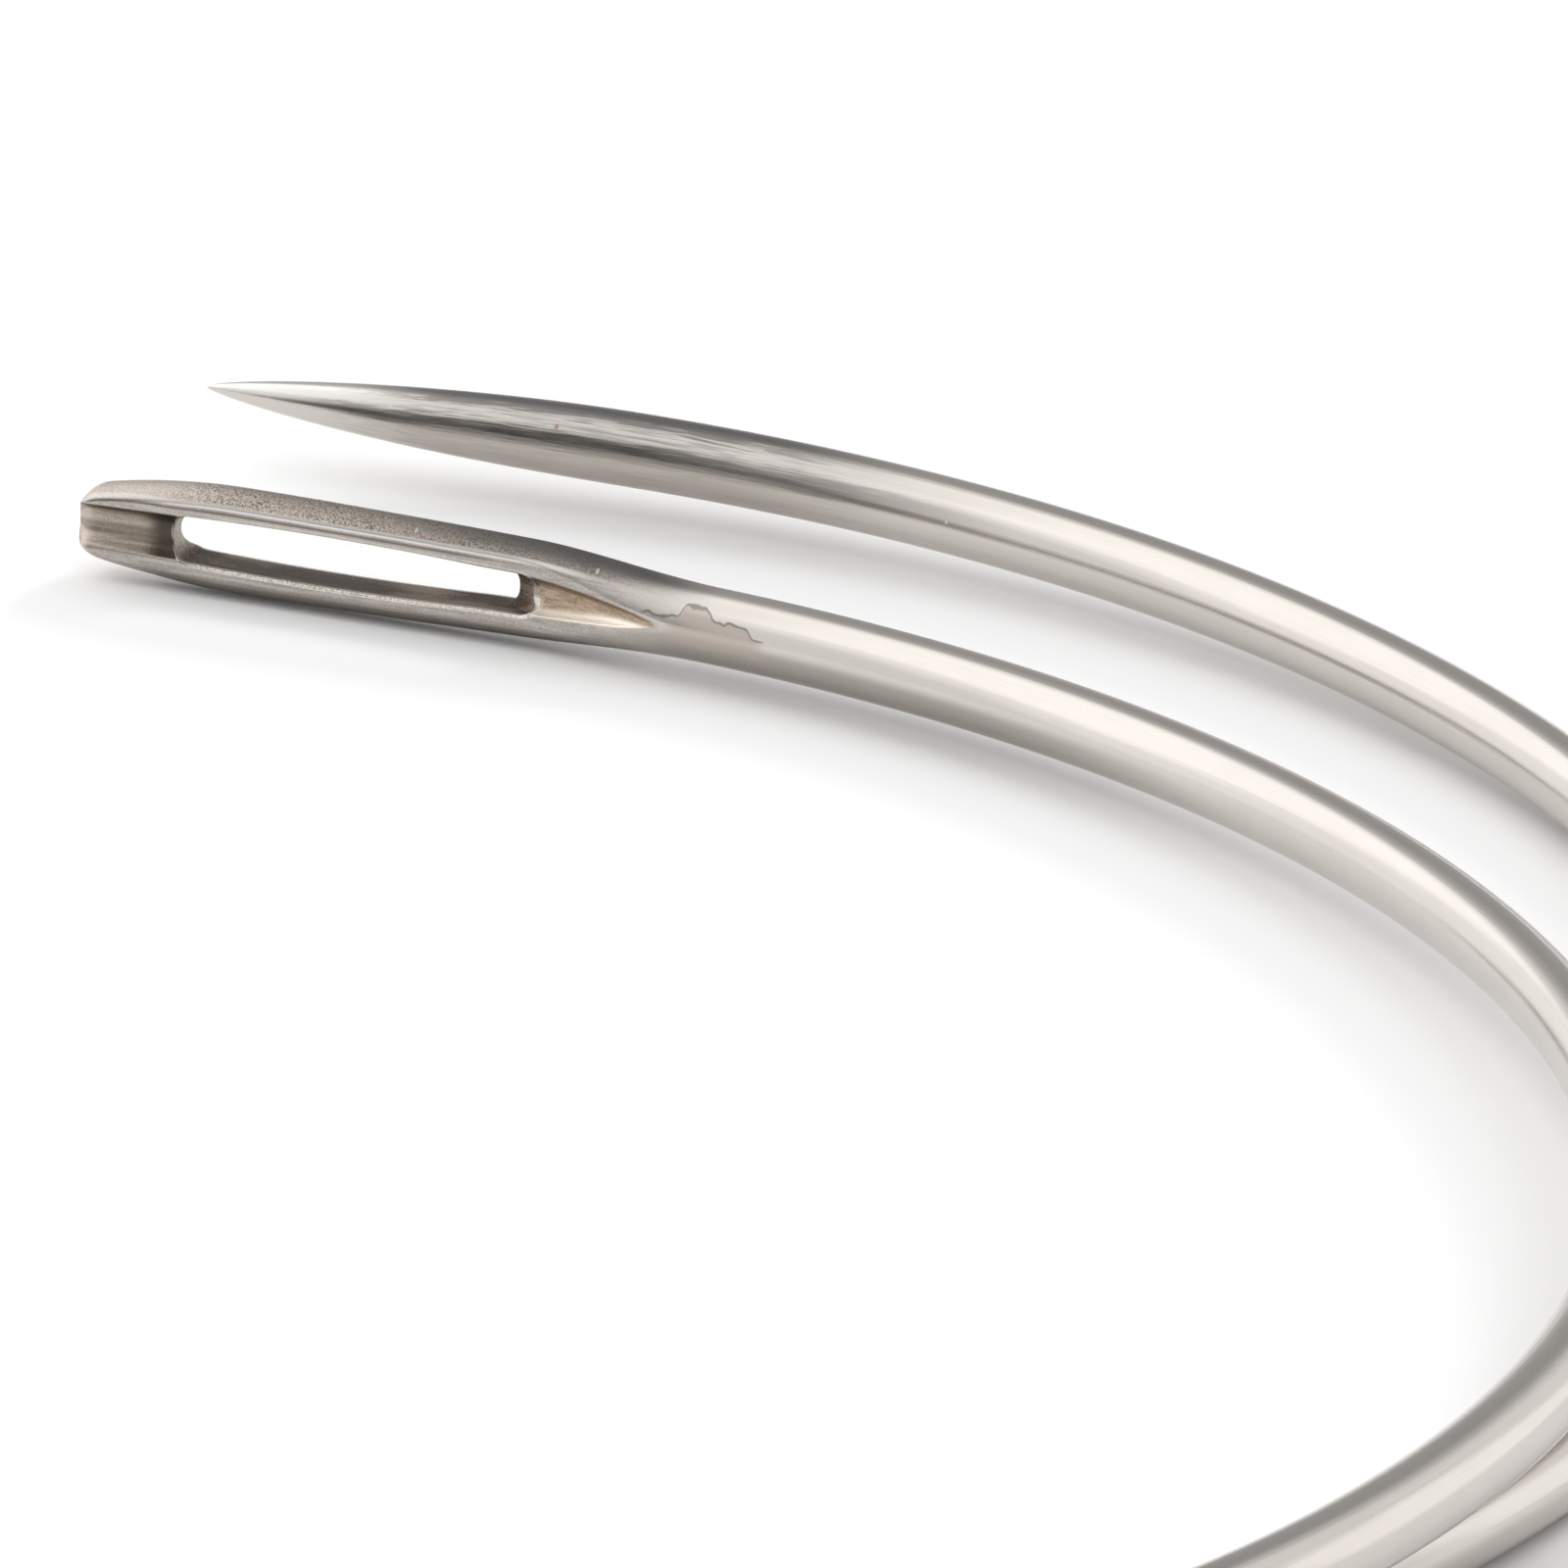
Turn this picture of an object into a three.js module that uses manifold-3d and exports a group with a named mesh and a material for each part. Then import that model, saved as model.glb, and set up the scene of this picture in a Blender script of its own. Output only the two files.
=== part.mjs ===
// Two curved sewing needles as they lie on a table, one resting across the other.
// Each needle is a single piece of drawn steel wire: ground to a long round point,
// bent in one plane with a straight run at either end, and stamped flat and pierced
// for a long eye whose gutters lead the thread in. Millimetres, +Z up; the table is
// Z = 0, the mouth of both bends faces -X.

import * as THREE from 'three';
import { mergeVertices } from 'three/addons/utils/BufferGeometryUtils.js';
import Module from 'manifold-3d';

const wasm = await Module();
wasm.setup();

// The wire and its bend
const wireDiameter = 1.8;
const needleLength = 127;
const bendRadius = 39.4;
const pointRun = 9.4;
const eyeRun = 11.85;
const bendEase = 6;

// The ground point; its very tip is left this far short of sharp
const pointLength = 11;
const pointFullness = 0.72;
const pointBlunting = 0.03;

// The slot through the eye, measured back from the blunt end of the needle. Its
// shank end slopes in from both faces to this depth either side of the middle, and
// the punch stood this far off the middle of the eye.
const slotStart = 2.4;
const slotLength = 8.7;
const slotHeight = 1.235;
const slotHeadRadius = 0.57;
const slotShankHeight = 1.0;
const slotShankRadius = 0.36;
const slotShankSlope = 1.5;
const slotSlopeDepth = 0.33;
const slotOffset = -0.045;

// The gutters in both faces, open at the head and ending in a spoon on the shank
const gutterMouthHeight = 1.0;
const gutterDepth = 0.34;
const gutterInset = 0.02;
const spoonLength = 3.6;
const spoonTaper = 1.5;
const spoonFullness = 0.8;

// The stamped eye round the slot: flat faces with a rim above and below the slot,
// and rounded crowns that stand beyond the faces
const rimHeight = 0.25;
const crownHeight = 0.45;
const eyeThickness = 1.2;
const eyeOffset = -0.055;
const headHeight = 1.55;
const headTaper = 4.2;
const headCorner = 0.6;
const headEdge = 0.18;

// The waist: the eye slowly loses height on its way to the shoulder, twice the depth
// over the whole run
const waistStart = 5;
const waistRun = 7.6;
const waistDepth = 0.13;
const waistPower = 1.5;

// Where the eye runs out into the round wire, from the shank end of the slot
const shoulderLag = 0.5;
const shoulderLength = 4.9;
const faceOverrun = 0.1;
const faceRunOut = 4.6;

// How the pair lies: each bend's centre in plan, its turn about Z, and its tilts.
// The clearance is left between the two wires where they cross.
const bottomCentre = new THREE.Vector2(0, 0);
const bottomTurn = -5.13;
const bottomRise = 1.07;
const bottomLean = 0.25;
const topCentre = new THREE.Vector2(-3.71, -7.77);
const topTurn = -9.8;
const topRise = 0.55;
const steepestLean = 8;
const crossingClearance = 0.2;

// Mesh fineness
const ringSides = 20;
const faceSteps = 4;
const pointStations = 14;
const pointCrowding = 1.8;
const shankStations = 48;
const eyeStations = 30;
const cornerStations = 5;
const slotLayers = 8;
const gutterSides = 16;
const gutterStations = 4;
const spoonStations = 10;
const arcSteps = 8;
const curveStep = 0.05;
const crossingStep = 0.25;
const leanSteps = 24;

const deg = THREE.MathUtils.degToRad;
const wireRadius = wireDiameter / 2;
const slotEnd = slotStart + slotLength;
const faceHeight = slotHeight + 2 * rimHeight;
const eyeHeight = faceHeight + 2 * crownHeight;
const shoulderStart = slotEnd + shoulderLag;
const eyeZone = shoulderStart + shoulderLength;

// Curvature of the centreline at distance s from the point: none on the straight
// runs, 1 / bendRadius on the bend, and a linear ramp where one turns into the other.
function curvature(s) {
  const rampUp = (s - pointRun) / bendEase + 0.5;
  const rampDown = (needleLength - eyeRun - s) / bendEase + 0.5;
  return THREE.MathUtils.clamp(Math.min(rampUp, rampDown), 0, 1) / bendRadius;
}

// The centreline lies in the XY plane with the bend's centre at the origin and its
// middle on +X. It is walked from that middle to each end in short chords.
const middle = (pointRun + needleLength - eyeRun) / 2;

function walk(length, direction) {
  const count = Math.ceil(length / curveStep);
  const step = length / count;
  const place = new THREE.Vector2(bendRadius, 0);
  let heading = (-direction * Math.PI) / 2;
  const line = [{ s: middle, place: place.clone(), heading }];
  for (let i = 0; i < count; i += 1) {
    const s = middle + direction * (i + 0.5) * step;
    const turn = -direction * curvature(s) * step;
    place.x += step * Math.cos(heading + turn / 2);
    place.y += step * Math.sin(heading + turn / 2);
    heading += turn;
    line.push({ s: middle + direction * (i + 1) * step, place: place.clone(), heading });
  }
  return line;
}

const towardsPoint = walk(middle, -1);
const towardsEye = walk(needleLength - middle, 1);

// Where the centreline is at distance s from the point, and the unit vector that
// points straight out of the bend there.
function wireFrame(s) {
  const line = s < middle ? towardsPoint : towardsEye;
  const direction = s < middle ? -1 : 1;
  const last = line.length - 1;
  const reach = (Math.abs(s - middle) / Math.abs(line[last].s - middle)) * last;
  const index = Math.min(Math.floor(reach), last - 1);
  const near = line[index];
  const far = line[index + 1];
  const place = near.place.clone().lerp(far.place, reach - index);
  const travel = far.place.clone().sub(near.place).normalize().multiplyScalar(direction);
  return { place, side: new THREE.Vector2(-travel.y, travel.x) };
}

function wirePoint(s, out, height) {
  const { place, side } = wireFrame(s);
  return new THREE.Vector3(place.x + side.x * out, place.y + side.y * out, height);
}


const smooth = (value, start, length) => THREE.MathUtils.smoothstep(value, start, start + length);
const easeOut = (value) => 1 - (1 - THREE.MathUtils.clamp(value, 0, 1)) ** 2;

// How far the stamping pushed the section off the middle of the wire, at distance t
// from the blunt end.
function stampedOffset(t) {
  return eyeOffset * (1 - smooth(t, shoulderStart, shoulderLength));
}

// Radius of the ground point: a full ogive that runs out smoothly into the wire.
function pointScale(s) {
  if (s >= pointLength) {
    return 1;
  }
  const left = 1 - s / pointLength;
  return (1 - left * left) ** pointFullness;
}

// Half sizes of the section at distance t from the blunt end. The wire is squeezed
// between two flat dies, so it spreads to an oval with two flat faces. The head
// narrows to its blunt end, where corners and edges are rounded off.
function eyeSection(t) {
  const round = smooth(t, shoulderStart, shoulderLength);
  const runOut = smooth(t, slotEnd + faceOverrun, faceRunOut);
  const waisted = Math.max(0, (t - waistStart) / waistRun);
  const widest = eyeHeight - 2 * waistDepth * waisted ** waistPower;
  const headed = THREE.MathUtils.lerp(headHeight, widest, easeOut(t / headTaper)) / 2;
  const pressedDepth = eyeThickness / 2 / Math.sqrt(1 - (faceHeight / eyeHeight) ** 2);
  const cut = 1 - Math.sqrt(easeOut(t / headCorner));
  return {
    height: THREE.MathUtils.lerp(headed, wireRadius, round) - headCorner * cut,
    depth: THREE.MathUtils.lerp(pressedDepth, wireRadius, round) - headEdge * cut,
    face: THREE.MathUtils.lerp(eyeThickness / 2, wireRadius, runOut) - headEdge * cut,
  };
}

// One ring of the needle's outline at distance s from the point, as [out, height]
// pairs. Its corner angle puts vertices on the edges between face and rounded side.
const cornerAngle = Math.asin(faceHeight / eyeHeight);

function needleRing(s) {
  const { height, depth, face } = eyeSection(needleLength - s);
  const offset = stampedOffset(needleLength - s);
  const scale = pointScale(s);
  const crownSteps = ringSides / 2 - faceSteps;
  const ring = [];
  for (const turn of [0, Math.PI]) {
    for (let i = 0; i < faceSteps; i += 1) {
      const angle = turn - cornerAngle + (2 * cornerAngle * i) / faceSteps;
      const out = THREE.MathUtils.clamp(depth * Math.cos(angle), -face, face);
      ring.push([out * scale, offset + height * Math.sin(angle) * scale]);
    }
    for (let i = 0; i < crownSteps; i += 1) {
      const angle = turn + cornerAngle + ((Math.PI - 2 * cornerAngle) * i) / crownSteps;
      const out = THREE.MathUtils.clamp(depth * Math.cos(angle), -face, face);
      ring.push([out * scale, offset + height * Math.sin(angle) * scale]);
    }
  }
  return ring;
}

// A closed solid through rings at the given stations, each end closed by a fan.
function loft(stations, ringAt) {
  const positions = [];
  const indices = [];
  let sides = 0;
  for (const s of stations) {
    const ring = ringAt(s);
    sides = ring.length;
    for (const [out, height] of ring) {
      positions.push(...wirePoint(s, out, height).toArray());
    }
  }
  for (let i = 0; i + 1 < stations.length; i += 1) {
    for (let j = 0; j < sides; j += 1) {
      const a = i * sides + j;
      const b = i * sides + ((j + 1) % sides);
      indices.push(a, b, a + sides, b, b + sides, a + sides);
    }
  }
  for (const [row, flip] of [[0, true], [stations.length - 1, false]]) {
    const hub = positions.length / 3;
    const mean = new THREE.Vector3();
    for (let j = 0; j < sides; j += 1) {
      mean.add(new THREE.Vector3().fromArray(positions, 3 * (row * sides + j)));
    }
    positions.push(...mean.divideScalar(sides).toArray());
    for (let j = 0; j < sides; j += 1) {
      const a = row * sides + j;
      const b = row * sides + ((j + 1) % sides);
      indices.push(...(flip ? [hub, b, a] : [hub, a, b]));
    }
  }
  const geometry = new THREE.BufferGeometry();
  geometry.setAttribute('position', new THREE.Float32BufferAttribute(positions, 3));
  geometry.setIndex(indices);
  return geometry;
}

function spaced(from, to, count) {
  return Array.from({ length: count }, (_, i) => from + ((to - from) * i) / count);
}

// The bare needle: stations crowd together at the tip, along the eye and at its head.
function needleBlank() {
  const grind = pointLength - pointBlunting;
  const stations = [
    ...spaced(0, 1, pointStations).map((k) => pointBlunting + grind * k ** pointCrowding),
    ...spaced(pointLength, needleLength - eyeZone, shankStations),
    ...spaced(needleLength - eyeZone, needleLength - headCorner, eyeStations),
    ...spaced(0, 1, cornerStations).map((k) => needleLength - headCorner * (1 - k) ** 2),
    needleLength,
  ];
  return loft(stations, needleRing);
}

// The slot's outline, with X from the blunt end towards the point: one long bowed
// edge above and below, a round end at the head and a squarer one at the shank.
// Away from the middle of the thickness its shank end is drawn out by the slope.
function slotCutter() {
  const shape = new THREE.Shape();
  const headArc = slotStart + slotHeadRadius;
  const shankArc = slotEnd - slotShankRadius;
  const shankHalf = slotShankHeight / 2;
  const bow = slotHeight - (slotHeadRadius + shankHalf) / 2;
  const middleX = (headArc + shankArc) / 2;
  shape.moveTo(headArc, -slotHeadRadius);
  shape.quadraticCurveTo(middleX, -bow, shankArc, -shankHalf);
  shape.absarc(shankArc, slotShankRadius - shankHalf, slotShankRadius, -Math.PI / 2, 0);
  shape.absarc(shankArc, shankHalf - slotShankRadius, slotShankRadius, 0, Math.PI / 2);
  shape.quadraticCurveTo(middleX, bow, headArc, slotHeadRadius);
  shape.absarc(headArc, 0, slotHeadRadius, Math.PI / 2, (Math.PI * 3) / 2);
  const depth = slotSlopeDepth * slotLayers;
  const geometry = new THREE.ExtrudeGeometry(shape, {
    depth,
    steps: slotLayers,
    bevelEnabled: false,
    curveSegments: arcSteps,
  });
  geometry.translate(0, slotOffset + eyeOffset, -depth / 2);
  const corners = geometry.attributes.position;
  for (let i = 0; i < corners.count; i += 1) {
    const drawn = smooth(corners.getX(i), shankArc - slotShankRadius, slotShankRadius);
    const fromMiddle = Math.min(Math.abs(corners.getZ(i)), slotSlopeDepth);
    corners.setX(i, corners.getX(i) + drawn * fromMiddle * slotShankSlope);
  }
  const { place, side } = wireFrame(needleLength);
  const towardsShank = new THREE.Vector3(-side.y, side.x, 0);
  const upright = new THREE.Vector3(0, 0, 1);
  const outOfBend = new THREE.Vector3(side.x, side.y, 0);
  const seat = new THREE.Matrix4().makeBasis(towardsShank, upright, outOfBend);
  seat.setPosition(place.x, place.y, 0);
  return geometry.applyMatrix4(seat);
}

// A gutter follows the face on one side of the eye. It widens from its mouth in the
// head to the ends of the slot, and its spoon runs out to a point on the shank.
function gutterCutter(sideSign) {
  const headHalf = slotHeadRadius - gutterInset;
  const shankHalf = slotShankHeight / 2 - gutterInset;
  const ringAt = (s) => {
    const t = needleLength - s;
    const past = THREE.MathUtils.clamp((t - slotEnd) / spoonLength, 0, 1);
    const spoon = (1 - past ** spoonTaper) ** spoonFullness;
    const opening = THREE.MathUtils.clamp(t / slotStart, 0, 1);
    const along = THREE.MathUtils.clamp((t - slotStart) / slotLength, 0, 1);
    const leadIn = THREE.MathUtils.lerp(gutterMouthHeight / 2, headHalf, opening);
    const half = THREE.MathUtils.lerp(leadIn, shankHalf, along) * spoon;
    const { face } = eyeSection(Math.max(t, headCorner));
    const ring = [];
    for (let i = 0; i < gutterSides; i += 1) {
      const angle = (i / gutterSides) * Math.PI * 2;
      const out = sideSign * face + gutterDepth * spoon * Math.cos(angle);
      ring.push([out, slotOffset + stampedOffset(t) + half * Math.sin(angle)]);
    }
    return ring;
  };
  const spoonPoint = needleLength - slotEnd - spoonLength + pointBlunting;
  const stations = [
    ...spaced(spoonPoint, needleLength - slotEnd, spoonStations),
    ...spaced(needleLength - slotEnd, needleLength - slotStart, gutterStations),
    ...spaced(needleLength - slotStart, needleLength, gutterStations),
    needleLength + wireDiameter,
  ];
  return loft(stations, ringAt);
}

function solidOf(source) {
  const bare = source.clone();
  bare.deleteAttribute('normal');
  bare.deleteAttribute('uv');
  const merged = mergeVertices(bare, 1e-5);
  return new wasm.Manifold(new wasm.Mesh({
    numProp: 3,
    vertProperties: new Float32Array(merged.attributes.position.array),
    triVerts: new Uint32Array(merged.index.array),
  }));
}

function geometryOf(solid) {
  const mesh = solid.getMesh();
  const geometry = new THREE.BufferGeometry();
  geometry.setAttribute('position', new THREE.BufferAttribute(mesh.vertProperties, 3));
  geometry.setIndex(new THREE.BufferAttribute(mesh.triVerts, 1));
  geometry.computeVertexNormals();
  return geometry;
}

function needleGeometry() {
  const pierced = solidOf(needleBlank())
    .subtract(solidOf(slotCutter()))
    .subtract(solidOf(gutterCutter(1)))
    .subtract(solidOf(gutterCutter(-1)));
  return geometryOf(pierced);
}

const nickel = { color: 0xc8c2ba, roughness: 0.32, metalness: 1 };

function makeNeedle(name, geometry) {
  const mesh = new THREE.Mesh(geometry, new THREE.MeshStandardMaterial(nickel));
  mesh.name = name;
  mesh.rotation.order = 'ZYX';
  return mesh;
}

// Lowers or lifts a needle until its lowest vertex is on the table.
function seatOnTable(mesh) {
  mesh.position.z = 0;
  mesh.updateMatrixWorld(true);
  const lowest = new THREE.Box3().setFromObject(mesh, true).min.z;
  mesh.position.z = -lowest;
  mesh.updateMatrixWorld(true);
}

function centreline(mesh) {
  const points = [];
  for (let s = 0; s <= needleLength; s += crossingStep) {
    points.push(wirePoint(s, 0, 0).applyMatrix4(mesh.matrixWorld));
  }
  return points;
}

// Height of one needle's centreline above the other's where they cross in plan.
function crossingRise(lower, upper) {
  let nearest = Infinity;
  let rise = 0;
  const upperLine = centreline(upper);
  for (const p of centreline(lower)) {
    for (const q of upperLine) {
      const apart = Math.hypot(p.x - q.x, p.y - q.y);
      if (apart < nearest) {
        nearest = apart;
        rise = q.z - p.z;
      }
    }
  }
  return rise;
}

const geometry = needleGeometry();

const bottomNeedle = makeNeedle('bottom_needle', geometry);
bottomNeedle.position.set(bottomCentre.x, bottomCentre.y, 0);
bottomNeedle.rotation.set(deg(bottomLean), deg(bottomRise), deg(bottomTurn));
seatOnTable(bottomNeedle);

// The top needle is turned over. Its eye stays on the table, and it leans just as
// far as carries its wire over the bottom needle's with the crossing clearance.
const topNeedle = makeNeedle('top_needle', geometry.clone());
topNeedle.position.set(topCentre.x, topCentre.y, 0);
let leanLow = 0;
let leanHigh = steepestLean;
for (let i = 0; i < leanSteps; i += 1) {
  const lean = (leanLow + leanHigh) / 2;
  topNeedle.rotation.set(deg(180 - lean), deg(topRise), deg(topTurn));
  seatOnTable(topNeedle);
  if (crossingRise(bottomNeedle, topNeedle) < wireDiameter + crossingClearance) {
    leanLow = lean;
  } else {
    leanHigh = lean;
  }
}

const needlePair = new THREE.Group();
needlePair.add(bottomNeedle, topNeedle);
needlePair.updateMatrixWorld(true);

// The origin is at the middle of the pair's footprint, on the table.
const box = new THREE.Box3().setFromObject(needlePair, true);
const middleOfBox = box.getCenter(new THREE.Vector3());
needlePair.position.set(-middleOfBox.x, -middleOfBox.y, 0);
needlePair.updateMatrixWorld(true);

export default needlePair;
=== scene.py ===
import math

import bmesh
import bpy
import numpy as np
from mathutils import Matrix, Vector


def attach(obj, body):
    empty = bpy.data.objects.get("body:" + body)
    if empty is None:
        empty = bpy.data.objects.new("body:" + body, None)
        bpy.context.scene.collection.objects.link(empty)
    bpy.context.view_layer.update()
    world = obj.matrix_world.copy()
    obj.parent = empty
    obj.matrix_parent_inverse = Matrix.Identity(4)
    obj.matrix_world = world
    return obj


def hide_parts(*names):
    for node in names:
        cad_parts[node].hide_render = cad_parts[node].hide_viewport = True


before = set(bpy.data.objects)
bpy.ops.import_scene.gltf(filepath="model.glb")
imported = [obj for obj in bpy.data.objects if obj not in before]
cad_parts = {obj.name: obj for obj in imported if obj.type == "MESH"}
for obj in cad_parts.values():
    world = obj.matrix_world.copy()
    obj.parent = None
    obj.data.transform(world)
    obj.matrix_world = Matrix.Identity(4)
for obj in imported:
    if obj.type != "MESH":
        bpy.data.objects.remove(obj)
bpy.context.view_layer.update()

# The wire. Each needle is one length of round drawn steel wire, bent in one flat
# plane: straight behind the point, straight along the eye, and an even bend between
# them that the bending former eases in and out. Sizes here are in millimetres.
NEEDLE_LENGTH = 127.0
WIRE_RADIUS = 0.899
BEND_RADIUS = 39.4
POINT_RUN = 9.4
EYE_RUN = 11.85
BEND_EASE = 6.0
POINT_LENGTH = 11.0
POINT_FULLNESS = 0.72
TIP_START = 0.03
TIP_ROUNDING = 0.06
WALK_POINTS = 25801


def centreline(s):
    """Place and outward direction of the wire at distance s from the point.

    Curvature is 0 on the straight runs and 1 / BEND_RADIUS on the bend, with a linear
    ramp where one turns into the other. Its running sum is the heading, and the running
    sum of the heading's cosine and sine is the place, with the bend's middle on +X.
    """
    walk = np.linspace(-1.0, NEEDLE_LENGTH + 1.0, WALK_POINTS)
    step = walk[1] - walk[0]
    ramp_up = (walk - POINT_RUN) / BEND_EASE + 0.5
    ramp_down = (NEEDLE_LENGTH - EYE_RUN - walk) / BEND_EASE + 0.5
    curvature = np.clip(np.minimum(ramp_up, ramp_down), 0, 1) / BEND_RADIUS
    middle = (POINT_RUN + NEEDLE_LENGTH - EYE_RUN) / 2

    def running_sum(values):
        total = np.concatenate([[0.0], np.cumsum((values[1:] + values[:-1]) / 2) * step])
        return total - np.interp(middle, walk, total)

    heading = -math.pi / 2 - running_sum(curvature)
    x = BEND_RADIUS + running_sum(np.cos(heading))
    y = running_sum(np.sin(heading))
    turned = np.interp(s, walk, heading)
    place = np.stack([np.interp(s, walk, x), np.interp(s, walk, y)], axis=-1)
    outward = np.stack([-np.sin(turned), np.cos(turned)], axis=-1)
    return place, outward


def bent(s, out, height):
    """Carries points given along the wire, out of the bend and above its plane to XYZ."""
    place, outward = centreline(s)
    flat = place + outward * out[:, None]
    return np.column_stack([flat, height])


def smooth(value, start, length):
    """A smooth step from 0 at start to 1 at start + length."""
    x = np.clip((value - start) / length, 0, 1)
    return x * x * (3 - 2 * x)


def ease_out(x):
    """Rises from 0 to 1 as a parabola that is level at 1."""
    return 1 - (1 - np.clip(x, 0, 1)) ** 2


def blend(a, b, share):
    """a where share is 0, b where it is 1."""
    return a + (b - a) * share


def wire_radius(s):
    """Radius at distance s: the ground ogive is a power of a parabola, and the very tip
    is rounded off as a quarter circle."""
    ogive = ease_out(s / POINT_LENGTH) ** POINT_FULLNESS
    tip = np.sqrt(ease_out((s - TIP_START) / TIP_ROUNDING))
    return WIRE_RADIUS * ogive * tip


# The eye. Flat dies press the wire to an oval with two flat faces, press a gutter into
# each face, and a punch pierces the long slot. T is the distance from the blunt end.
SLOT_START = 2.5
SLOT_END = 11.3
SLOT_BOW = 0.70
SLOT_HEAD_RADIUS = 0.57
SLOT_SHANK_HALF = 0.50
SLOT_SHANK_RADIUS = 0.46
SLOT_SHANK_SLOPE = 2.1
SLOT_SLOPE_DEPTH = 0.33
SLOT_LIP = 0.06
SLOT_SHIFT = -0.045
GUTTER_MOUTH_HALF = 0.50
GUTTER_HEAD_HALF = 0.55
GUTTER_SHANK_HALF = 0.50
GUTTER_DEPTH = 0.34
SPOON_LENGTH = 4.3
FACE_HALF = 1.0
EYE_HALF = 1.32
EYE_HALF_THICKNESS = 0.6
EYE_SHIFT = -0.055
WORN_EDGE = 0.07
WORN_START = 0.3
WORN_RISE = 2.0
HEAD_HALF = 0.775
HEAD_TAPER = 4.2
HEAD_CORNER = 0.68
HEAD_ROUNDING = 0.42
WAIST_START = 5.0
WAIST = 0.13
WAIST_AT = 12.6
SHOULDER_START = 11.6
SHOULDER_LENGTH = 4.9
FACE_FADE_START = 11.2
FACE_FADE_LENGTH = 4.6
EDGE_SOFTNESS = 0.07
CROWN_SOFTNESS = 0.05
NO_TROUGH = 9.0


def half_height(t):
    """Half the eye's height: it widens from the head as a parabola, loses a little with
    the power 1.5 of the distance, and narrows to the round wire at the shoulder."""
    shoulder = smooth(t, SHOULDER_START, SHOULDER_LENGTH)
    waist = WAIST * np.clip((t - WAIST_START) / (WAIST_AT - WAIST_START), 0, None) ** 1.5
    headed = blend(HEAD_HALF, EYE_HALF - waist, ease_out(t / HEAD_TAPER))
    corner = HEAD_CORNER * (1 - np.sqrt(ease_out(t / HEAD_CORNER)))
    return blend(headed, WIRE_RADIUS, shoulder) - corner


def worn_edge(t):
    """How much lower the eye stands on its worn edge, fading out at both ends."""
    shoulder = smooth(t, SHOULDER_START, SHOULDER_LENGTH)
    return WORN_EDGE * smooth(t, WORN_START, WORN_RISE) * (1 - shoulder)


def lower_of(a, b, softness):
    """The smaller of two heights, with the crease between them rounded."""
    mix = np.clip(0.5 + 0.5 * (b - a) / softness, 0, 1)
    return blend(b, a, mix) - softness * mix * (1 - mix)


def eye_surface(t, z):
    """How far the eye's surface stands out at (t, z), and how deep a gutter is there.

    The section is an ellipse cut off by the flat face. The gutter is a trough whose
    depth falls as the cube of the distance from its middle. Past the slot its width and
    depth run out as 1 less the power 1.5 of the way along the spoon, to the power 0.8.
    A quarter ellipse rounds everything down to nothing at the blunt end.
    """
    shoulder = smooth(t, SHOULDER_START, SHOULDER_LENGTH)
    fade = smooth(t, FACE_FADE_START, FACE_FADE_LENGTH)
    pressed = EYE_HALF_THICKNESS / math.sqrt(1 - (FACE_HALF / EYE_HALF) ** 2)
    reach = half_height(t) - np.where(z > 0, worn_edge(t), 0)
    across = np.clip(1 - (z / np.maximum(reach, 1e-6)) ** 2, 0, None)
    crown = blend(pressed, WIRE_RADIUS, shoulder) * np.sqrt(across)
    face = blend(EYE_HALF_THICKNESS, WIRE_RADIUS + CROWN_SOFTNESS, fade)
    body = lower_of(face, crown, CROWN_SOFTNESS)
    past = np.clip((t - SLOT_END) / SPOON_LENGTH, 0, 1)
    spoon = np.clip(1 - past ** 1.5, 1e-4, 1) ** 0.8
    mouth = blend(GUTTER_MOUTH_HALF, GUTTER_HEAD_HALF, np.clip(t / SLOT_START, 0, 1))
    along = np.clip((t - SLOT_START) / (SLOT_END - SLOT_START), 0, 1)
    half = blend(mouth, GUTTER_SHANK_HALF, along) * spoon
    trough = face - GUTTER_DEPTH * spoon * (1 - np.abs((z - SLOT_SHIFT) / half) ** 3)
    out = lower_of(body, np.where(t < SLOT_END + SPOON_LENGTH, trough, NO_TROUGH), EDGE_SOFTNESS)
    rounding = np.sqrt(ease_out(t / HEAD_ROUNDING))
    depth = np.clip((body - out) / GUTTER_DEPTH, 0, 1)
    return np.clip(out, 0, None) * rounding, depth


def respaced(line, count):
    """Points at even steps along a polyline, the last one left off."""
    reach = np.concatenate([[0], np.cumsum(np.hypot(*np.diff(line, axis=0).T))])
    at = np.linspace(0, reach[-1], count + 1)[:-1]
    return np.column_stack([np.interp(at, reach, line[:, 0]), np.interp(at, reach, line[:, 1])])


# Columns that go once round the eye, from the shank over the top to the head and back,
# each joining a point on the slot's edge to one on the eye's outline.
SHANK_COLUMNS = 36
CORNER_COLUMNS = 40
RAIL_COLUMNS = 110
HEAD_COLUMNS = 36
EYE_END = SHOULDER_START + SHOULDER_LENGTH
RAIL_FROM = 12.4
RAIL_TO = 2.0
CORNER_SAMPLES = 200
RAIL_SAMPLES = 400
HEAD_SAMPLES = 900
ARC_SAMPLES = 90


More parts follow.
